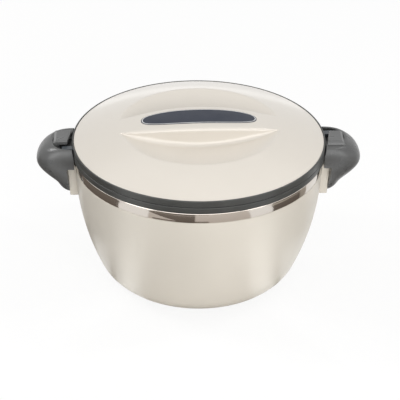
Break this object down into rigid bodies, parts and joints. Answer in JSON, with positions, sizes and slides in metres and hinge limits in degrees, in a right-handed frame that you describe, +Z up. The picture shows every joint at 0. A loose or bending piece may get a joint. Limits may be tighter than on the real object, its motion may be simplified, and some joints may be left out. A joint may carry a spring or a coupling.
{
  "type": "insulated serving casserole",
  "caption": "Round double-walled casserole with foam-filled wall, two side handles with lock hooks, and a domed twist-and-lift lid with a moulded grip.",
  "frame": {"origin": "on the bowl's axis, at the surface it stands on: the centre of the bounding box's underside", "axes": "+Z up the bowl's axis; +X along the two handles; -Y is the front"},
  "size_m": [0.3858, 0.3, 0.2092],
  "materials": {
    "cream_paint": "satin",
    "cream_cover": "satin",
    "polished_steel": "polished",
    "liner_steel": "satin",
    "dark_plastic": "satin",
    "tongue_plastic": "satin",
    "rubber": "matte",
    "gasket_rubber": "matte",
    "foam": "matte",
    "fastener_steel": "satin",
    "label_navy": "gloss"
  },
  "bodies": {
    "pot": {"outer_shell": "cream_paint", "inner_liner": "liner_steel", "body_foam": "foam", "rim_band": "polished_steel", "rim_collar": "dark_plastic", "foot_ring": "rubber", "foam_plug": "dark_plastic", "handle_bracket_right": "cream_paint", "handle_bracket_left": "cream_paint", "handle_right": "dark_plastic", "handle_left": "dark_plastic", "lock_keeper_right": "dark_plastic", "lock_keeper_left": "dark_plastic", "handle_backing_plates": "fastener_steel", "handle_screws": "fastener_steel", "keeper_screws": "fastener_steel"},
    "lid_seal": {"lid_gasket": "gasket_rubber"},
    "lid": {"lid_cover": "cream_cover", "lid_rim": "dark_plastic", "lid_tongues": "tongue_plastic", "lid_foam": "foam", "lid_liner": "liner_steel", "label_plate": "label_navy"}
  },
  "joints": [
    {"name": "lid_lift", "type": "slide", "parent": "pot", "child": "lid_seal", "axis": [0, 0, 1], "range_m": [0, 0.12]},
    {"name": "lid_turn", "type": "hinge", "parent": "lid_seal", "child": "lid", "pos_m": [0, 0, 0.1743], "axis": [0, 0, 1], "range_deg": [-8.8, 0]}
  ]
}
